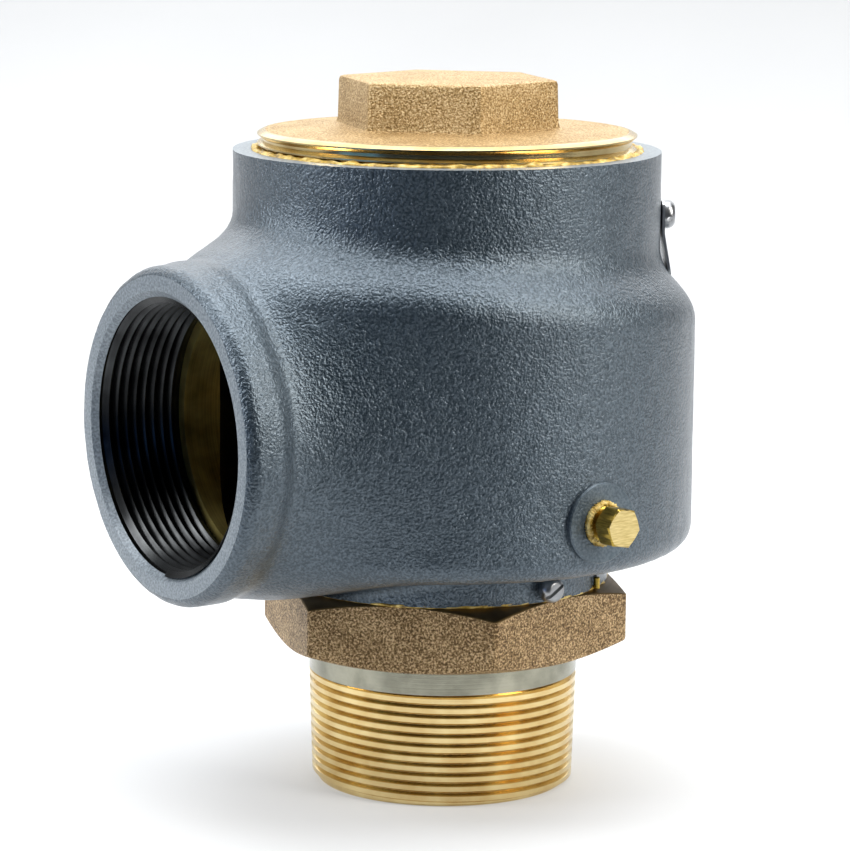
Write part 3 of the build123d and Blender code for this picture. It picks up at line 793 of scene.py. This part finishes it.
def bar_brass(name, light, dark, roughness, metallic):
    """Free-cutting brass bar: yellow, with straight scratches that run slanting over it."""
    material = new_material(name)
    place = node(material, "TexCoord", {})["Object"]
    slanting = {"Vector": place, "Rotation": (0, -1.0, 0), "Scale": (500, 500, 4500)}
    along = node(material, "Mapping", slanting)["Vector"]
    scratches = node(material, "TexNoise", {"Vector": along, "Scale": 1.0, "Detail": 3.0})["Fac"]
    colour = node(material, "ValToRGB", {"Fac": scratches}, stops=[(0.3, dark), (0.7, light)])["Color"]
    bump = node(material, "Bump", {"Height": scratches, "Strength": 0.7, "Distance": 0.03 * mm})["Normal"]
    shader = {"Base Color": colour, "Metallic": metallic, "Roughness": roughness, "Normal": bump}
    node(material, "Principled", shader)
    return material


# The pad's face was cut flat before painting, so the enamel on it is smooth and a little paler.
pad_paint = grained_paint(
    "grey_enamel_on_spot_faced_pad", ("#44515b", "#505d67", "#5d6a74"), 0.40, 0.12 * mm, 0.4, 0.6
)
pad = turned("plug_pad", [
    (0, pad_root),
    (pad_radius, pad_root),
    (pad_radius, pad_face - pad_edge),
    (pad_radius - pad_edge, pad_face),
    (0, pad_face),
], segments=96)
pad.data.materials.append(pad_paint)
pad.data.transform(facing(plug_angle, plug_height))
pad.data.set_sharp_from_angle(angle=math.radians(30))
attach(pad, "valve_body")

# The bar's drawn sides are bright and mirror the dark room; its parted-off end is matt and pale.
brass_bar = bar_brass("drawn_brass_bar", "#c2a650", "#8a7432", 0.3, 1.0)
brass_end = bar_brass("parted_off_brass_end", "#dccb92", "#b8a264", 0.5, 0.6)
plug_segments = 96
plug_edge = hexagon(plug_hex_half, plug_hex_turn, 0.15 * mm, plug_segments)
plug_over = plug_edge - plug_hex_half
plug = turned("ring_lock_plug_body", [
    (0, plug_pin_tip),
    (plug_pin_radius, plug_pin_tip),
    (plug_pin_radius, plug_thread_start),
    (plug_thread_radius, plug_thread_start),
    (plug_thread_radius, pad_face + 1.0 * mm),
    (plug_waist_radius, pad_face + 1.3 * mm),
    (plug_waist_radius, plug_end - plug_hex_length),
    (plug_hex_half, plug_end - plug_hex_length),
    (plug_edge, plug_end - plug_hex_length + 0.1 * mm + 0.5 * plug_over),
    (plug_edge, plug_end - 0.35 * mm),
    (plug_hex_half + 0.5 * plug_over - 0.15 * mm, plug_end),
    (0, plug_end),
], segments=plug_segments, finishes=[0, 0, 0, 0, 0, 0, 0, 0, 0, 0, 1, 0])
for finish in (brass_bar, brass_end):
    plug.data.materials.append(finish)
plug.data.transform(facing(plug_angle, plug_height))
plug.data.set_sharp_from_angle(angle=math.radians(25))
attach(plug, "valve_body")
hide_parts("ring_lock_plug")

plug_bead = bead(
    "plug_sealant", plug_thread_radius + 0.25 * mm, pad_face + 0.35 * mm, 0.75 * mm, 1.0, 0.25,
    seed=13, segments=160,
)
plug_bead.data.transform(facing(plug_angle, plug_height))
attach(plug_bead, "valve_body")

# ------------------------------------------------------------------------------------------
# Nozzle lock screw and dowel pin
# A bright slotted round-head steel screw in the lower neck, and a small brass pin driven up
# into a notch beside it. Both stop the nozzle from turning in the body.
# ------------------------------------------------------------------------------------------
nozzle_screw_height = 49.5 * mm
nozzle_screw_angle = math.radians(-87.3)
screw_head_base = 38.2 * mm
screw_shank_radius = 1.55 * mm
screw_tip = 30.2 * mm
screw_slot_width = 0.8 * mm
screw_slot_depth = 1.1 * mm
screw_slot_turn = math.radians(-58)
screw_head_radius = 2.8 * mm
screw_head_length = 2.6 * mm
# Bright steel is a cold grey mirror that shows every lamp as a hard white spot.
bright_steel = turned_metal("bright_machined_steel", "#a9abad", "#85878a", 0.28, 0.15 * mm, 0.01 * mm)


def round_head(base, radius, length):
    """Outline points of a screw's domed head that stands on `base`."""
    points = [(radius, base)]
    for step in range(7):
        sweep = math.radians(15 * step)
        across = radius * (0.55 + 0.45 * math.cos(sweep))
        points.append((across, base + length * (0.35 + 0.65 * math.sin(sweep))))
    return points + [(0, base + length)]


nozzle_screw = turned("nozzle_lock_screw_body", [
    (0, screw_tip),
    (screw_shank_radius, screw_tip),
    (screw_shank_radius, screw_head_base),
] + round_head(screw_head_base, screw_head_radius, screw_head_length), segments=64)
nozzle_screw.data.materials.append(bright_steel)
slot_tool = bmesh.new()
bmesh.ops.create_cube(slot_tool, size=1.0)
slot_shape = bpy.data.meshes.new("slot_tool")
slot_tool.to_mesh(slot_shape)
slot_tool.free()
slot_shape.transform(
    Matrix.Translation((0, 0, screw_head_base + screw_head_length))
    @ Matrix.Rotation(screw_slot_turn, 4, "Z")
    @ Matrix.Diagonal((3 * screw_head_radius, screw_slot_width, 2 * screw_slot_depth, 1))
)
slot_shape.materials.append(bright_steel)
slot_cutter = bpy.data.objects.new("slot_tool", slot_shape)
bpy.context.scene.collection.objects.link(slot_cutter)
cut(nozzle_screw, slot_cutter)
nozzle_screw.data.transform(facing(nozzle_screw_angle, nozzle_screw_height))
nozzle_screw.data.set_sharp_from_angle(angle=math.radians(30))
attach(nozzle_screw, "valve_body")
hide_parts("nozzle_lock_screw")

dowel_radius = 0.7 * mm
dowel_length = 2.7 * mm
dowel_out = lower_neck_radius + 0.5 * mm
dowel = turned("nozzle_dowel_body", [
    (0, -0.1 * mm),
    (dowel_radius - 0.2 * mm, -0.1 * mm),
    (dowel_radius, 0.1 * mm),
    (dowel_radius, dowel_length - 0.3 * mm),
    (dowel_radius - 0.25 * mm, dowel_length - 0.05 * mm),
    (0, dowel_length),
], segments=32)
dowel.data.transform(Matrix.Translation((
    dowel_out * math.cos(dowel_angle),
    dowel_out * math.sin(dowel_angle),
    lower_neck_bottom,
)))
dowel.data.materials.append(brass_bar)
dowel.data.set_sharp_from_angle(angle=math.radians(40))
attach(dowel, "valve_body")
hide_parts("nozzle_dowel_pin")

# ------------------------------------------------------------------------------------------
# Cap lock screw and tag
# A steel round-head screw with a cross hole for a seal wire, through the upper neck on to a
# brass slug. It also holds a thin blank tag, bent out over the body's shoulder.
# ------------------------------------------------------------------------------------------
lock_angle = math.radians(-31.3)
lock_height = 127.7 * mm
lock_head_base = neck_radius + 0.8 * mm
lock_head_radius = 3.2 * mm
lock_head_length = 2.55 * mm
lock_shank_radius = 1.7 * mm
lock_tip = cap_thread_radius + 2.1 * mm
wire_hole_radius = 0.62 * mm
lock_screw = turned("cap_lock_screw_body", [
    (0, lock_tip),
    (lock_shank_radius, lock_tip),
    (lock_shank_radius, lock_head_base),
] + round_head(lock_head_base, lock_head_radius, lock_head_length), segments=64)
lock_screw.data.materials.append(bright_steel)
wire_hole = turned("wire_hole_tool", [
    (0, -5 * mm),
    (wire_hole_radius, -5 * mm),
    (wire_hole_radius, 5 * mm),
    (0, 5 * mm),
], segments=24)
wire_hole.data.materials.append(bright_steel)
wire_hole.data.transform(
    Matrix.Translation((0.9 * mm, 0, lock_head_base + 1.25 * mm)) @ Matrix.Rotation(math.pi / 2, 4, "X")
)
cut(lock_screw, wire_hole)
lock_screw.data.transform(facing(lock_angle, lock_height))
lock_screw.data.set_sharp_from_angle(angle=math.radians(30))
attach(lock_screw, "lock_screw")
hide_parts("cap_lock_screw")

tag_half_width = 6.0 * mm
tag_thickness = 0.6 * mm
tag_top = 131.0 * mm
tag_bend = 124.0 * mm
tag_leaf = 9.6 * mm
tag_lean = math.radians(10.1)


def rolled_sheet():
    """Thin rolled aluminium sheet: pale, satin, with faint straight rolling lines."""
    material = new_material("rolled_aluminium_sheet")
    place = node(material, "TexCoord", {})["Object"]
    stretched = node(material, "Mapping", {"Vector": place, "Scale": (2500, 2500, 60)})["Vector"]
    lines = node(material, "TexNoise", {"Vector": stretched, "Scale": 1.0, "Detail": 2.0})["Fac"]
    colour = node(material, "ValToRGB", {"Fac": lines}, stops=[(0.3, "#b9bcbf"), (0.7, "#e3e5e6")])["Color"]
    bump = node(material, "Bump", {"Height": lines, "Strength": 0.5, "Distance": 0.02 * mm})["Normal"]
    node(material, "Principled", {"Base Color": colour, "Metallic": 1.0, "Roughness": 0.32, "Normal": bump})
    return material


def tag_sheet():
    """The tag's mid surface: a tab with rounded corners, a bend, and a leaf that leans out."""
    corner = 1.5 * mm
    row_count = 29
    rows = []
    length = tag_top - tag_bend + tag_leaf
    for down in np.linspace(0, length, row_count):
        to_end = min(down, length - down)
        inset = corner - math.sqrt(max(corner ** 2 - max(corner - to_end, 0) ** 2, 0))
        below = max(down - (tag_top - tag_bend), 0)
        height = tag_top - min(down, tag_top - tag_bend) - below * math.cos(tag_lean)
        out = neck_radius + 0.05 * mm + below * math.sin(tag_lean)
        rows.append([(side * (tag_half_width - inset), height, out) for side in (-1, -0.5, 0, 0.5, 1)])
    starts = [5 * row + column for row in range(row_count - 1) for column in range(4)]
    faces = [(start, start + 1, start + 6, start + 5) for start in starts]
    turn = Matrix.Rotation(lock_angle, 4, "Z")
    placed = [turn @ Vector((out, across, height)) for row in rows for across, height, out in row]
    return placed, faces


tag_points, tag_faces = tag_sheet()
tag = new_mesh("name_tag_sheet", tag_points, tag_faces)
tag.data.materials.append(rolled_sheet())
solidify = tag.modifiers.new("thickness", "SOLIDIFY")
solidify.thickness = tag_thickness
solidify.offset = -1
settle(tag)
tag.data.set_sharp_from_angle(angle=math.radians(30))
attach(tag, "valve_body")
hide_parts("name_tag")

# ------------------------------------------------------------------------------------------
# Spring
# Oil-tempered steel wire, coiled with closed ends that are ground flat. The spring gives at its
# lower end when the disc lifts and at its upper end when the cap is turned; it is made in two
# parts, which are not tied to the disc or the cap.
# ------------------------------------------------------------------------------------------
spring_low, spring_high = (Vector(corner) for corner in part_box("spring"))
wire_radius = 2.25 * mm
coil_radius = (spring_high.x - spring_low.x) / 2 - wire_radius
spring_turns = 5.5
lower_share = 0.75


def oiled_wire():
    """Dark oil-tempered spring wire with a soft sheen and fine drawn lines."""
    material = new_material("oil_tempered_spring_wire")
    place = node(material, "TexCoord", {})["Object"]
    scale = node(material, "TexNoise", {"Vector": place, "Scale": 1 / (2.5 * mm), "Detail": 4.0})["Fac"]
    colour = node(material, "ValToRGB", {"Fac": scale}, stops=[(0.3, "#2b2d30"), (0.7, "#55585c")])["Color"]
    bump = node(material, "Bump", {"Height": scale, "Strength": 0.4, "Distance": 0.03 * mm})["Normal"]
    node(material, "Principled", {"Base Color": colour, "Metallic": 1.0, "Roughness": 0.36, "Normal": bump})
    return material


spring_wire = oiled_wire()


def spring_part(name, first, last):
    """The spring's wire between two shares of its length, with its ends ground flat."""
    steps = 64
    sides = 14
    shares = np.linspace(first, last, int(steps * spring_turns * (last - first)) + 1)
    length = spring_high.z - spring_low.z
    closed = 0.16
    closed_pitch = 1.6 * wire_radius
    open_share = np.clip((shares - closed) / (1 - 2 * closed), 0, 1)
    end_turns = spring_turns * (np.minimum(shares, closed) + np.maximum(shares - 1 + closed, 0))
    rise = length - 2 * wire_radius - 2 * closed * spring_turns * closed_pitch
    heights = spring_low.z + wire_radius + end_turns * closed_pitch + open_share * rise
    points = []
    for share, height in zip(shares, heights):
        turn = 2 * math.pi * spring_turns * share
        for side in range(sides):
            around = 2 * math.pi * side / sides
            radius = coil_radius + wire_radius * math.cos(around)
            ground = min(max(height + wire_radius * math.sin(around), spring_low.z), spring_high.z)
            points.append((radius * math.cos(turn), radius * math.sin(turn), ground))
    rings = len(shares)
    faces = []
    for ring in range(rings - 1):
        here = ring * sides
        after = here + sides
        for side in range(sides):
            ahead = (side + 1) % sides
            faces.append((here + side, after + side, after + ahead, here + ahead))
    faces.append(tuple(range(sides)))
    faces.append(tuple(reversed(range((rings - 1) * sides, rings * sides))))
    made = new_mesh(name, points, faces)
    made.data.materials.append(spring_wire)
    face_outwards(made)
    return made


spring_lower = spring_part("spring_lower_coils", 0.0, lower_share)
spring_upper = spring_part("spring_upper_coils", lower_share, 1.0)
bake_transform(spring_lower)
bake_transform(spring_upper)
for coils in (spring_lower, spring_upper):
    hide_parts("spring")

# ------------------------------------------------------------------------------------------
# Inner parts
# The turned bronze disc, holder, ring and guide, and the machined steel screws, steps and
# balls keep the CAD's shapes and take the finish of the cutting tool.
# ------------------------------------------------------------------------------------------
# Freshly turned bronze is a warm, even gold; the steel parts are a plain cold grey.
inner_bronze = turned_metal("fine_turned_bronze", "#c9a25c", "#a6803f", 0.28, 0.22 * mm, 0.015 * mm)
inner_finishes = {
    "disc": inner_bronze,
    "disc_holder": inner_bronze,
    "guide": inner_bronze,
    "regulating_ring": inner_bronze,
    "disc_retaining_ring": spring_wire,
    "guide_screws": bright_steel,
    "lower_pivot_ball": bright_steel,
    "upper_pivot_ball": bright_steel,
    "lower_spring_step": bright_steel,
    "upper_spring_step": bright_steel,
    "cap_lock_slug": brass_bar,
}
for name, finish in inner_finishes.items():
    part = frame["nodes"][name]
    part.data.materials.clear()
    part.data.materials.append(finish)

# ------------------------------------------------------------------------------------------
# Floor, light and camera
# A pale paper floor that rises behind the valve, a tall soft lamp on each side, one overhead,
# one behind, a weak blue one low at the front left, and a view with the outlet to the left.
# ------------------------------------------------------------------------------------------
sweep_half_width = 3.0
sweep_front = -0.2
sweep_bend = 0.5
sweep_round = 0.7
sweep_top = 2.2
view_turn = math.radians(-34.3)
valve_middle = Vector((0, 0, 0.08))


def pale_floor():
    """Matt white studio paper with a very faint mottle."""
    material = new_material("matt_white_studio_paper")
    place = node(material, "TexCoord", {})["Object"]
    mottle = node(material, "TexNoise", {"Vector": place, "Scale": 6.0, "Detail": 2.0})["Fac"]
    stops = [(0.3, "#b2b4b6"), (0.7, "#b8babc")]
    colour = node(material, "ValToRGB", {"Fac": mottle}, stops=stops)["Color"]
    node(material, "Principled", {
        "Base Color": colour,
        "Roughness": 0.8,
        "Emission Color": linear("#ffffff"),
        "Emission Strength": 0.25,
    })
    return material


def paper_sweep():
    """The studio's paper: flat under the valve, then curved up behind it."""
    profile = [(sweep_front, 0.0)]
    steps = 16
    for step in range(steps + 1):
        lift = math.radians(90 * step / steps)
        profile.append((sweep_bend + sweep_round * math.sin(lift), sweep_round * (1 - math.cos(lift))))
    profile.append((sweep_bend + sweep_round, sweep_top))
    points = [(side * sweep_half_width, back, up) for back, up in profile for side in (-1, 1)]
    faces = [(2 * row, 2 * row + 1, 2 * row + 3, 2 * row + 2) for row in range(len(profile) - 1)]
    paper = new_mesh("studio_paper", points, faces)
    paper.data.transform(Matrix.Rotation(view_turn, 4, "Z"))
    paper.data.materials.append(pale_floor())
    return paper


paper_sweep()


def lamp(name, bearing, distance, height, width, tall, power, colour):
    """A soft rectangular lamp at this bearing from the view, in degrees, aimed at the valve."""
    light = bpy.data.lights.new(name, "AREA")
    light.shape = "RECTANGLE"
    light.size = width
    light.size_y = tall
    light.energy = power
    light.color = linear(colour)[:3]
    made = bpy.data.objects.new(name, light)
    turn = view_turn + math.radians(bearing)
    made.location = (distance * math.sin(turn), -distance * math.cos(turn), height)
    aim = valve_middle - made.location
    made.rotation_euler = aim.to_track_quat("-Z", "Y").to_euler()
    bpy.context.scene.collection.objects.link(made)


lamp("left_lamp", -80, 1.0, 0.60, 0.34, 0.6, 9, "#ffffff")
lamp("right_lamp", 62, 0.9, 0.60, 0.42, 0.9, 12, "#fffaf2")
lamp("top_lamp", 180, 0.06, 0.95, 1.0, 0.7, 13, "#ffffff")
lamp("back_lamp", 180, 0.6, 0.60, 1.4, 0.7, 4.5, "#ffffff")
lamp("low_blue_fill", -55, 0.9, 0.10, 0.4, 0.2, 0.2, "#5fa4ff")

world = bpy.data.worlds.new("studio")
bpy.context.scene.world = world
world.use_nodes = True
world.node_tree.nodes["Background"].inputs["Color"].default_value = linear("#a9c9f5")
world.node_tree.nodes["Background"].inputs["Strength"].default_value = 0.05

camera_distance = 0.8004
camera_height = 0.2177
tilt = math.radians(9.76)
pan = math.radians(0.315)
roll = math.radians(0.45)
lens_length = 153.8
camera = bpy.data.cameras.new("view")
camera.sensor_fit = "HORIZONTAL"
camera.sensor_width = 36
camera.lens = lens_length
camera.clip_start = 0.01
camera_object = bpy.data.objects.new("view", camera)
camera_object.location = (
    camera_distance * math.sin(view_turn),
    -camera_distance * math.cos(view_turn),
    camera_height,
)
aimed = Matrix.Rotation(view_turn + pan, 4, "Z") @ Matrix.Rotation(math.pi / 2 - tilt, 4, "X")
camera_object.rotation_euler = (aimed @ Matrix.Rotation(roll, 4, "Z")).to_euler()
bpy.context.scene.collection.objects.link(camera_object)
bpy.context.scene.camera = camera_object
bpy.context.scene.view_settings.view_transform = "Standard"
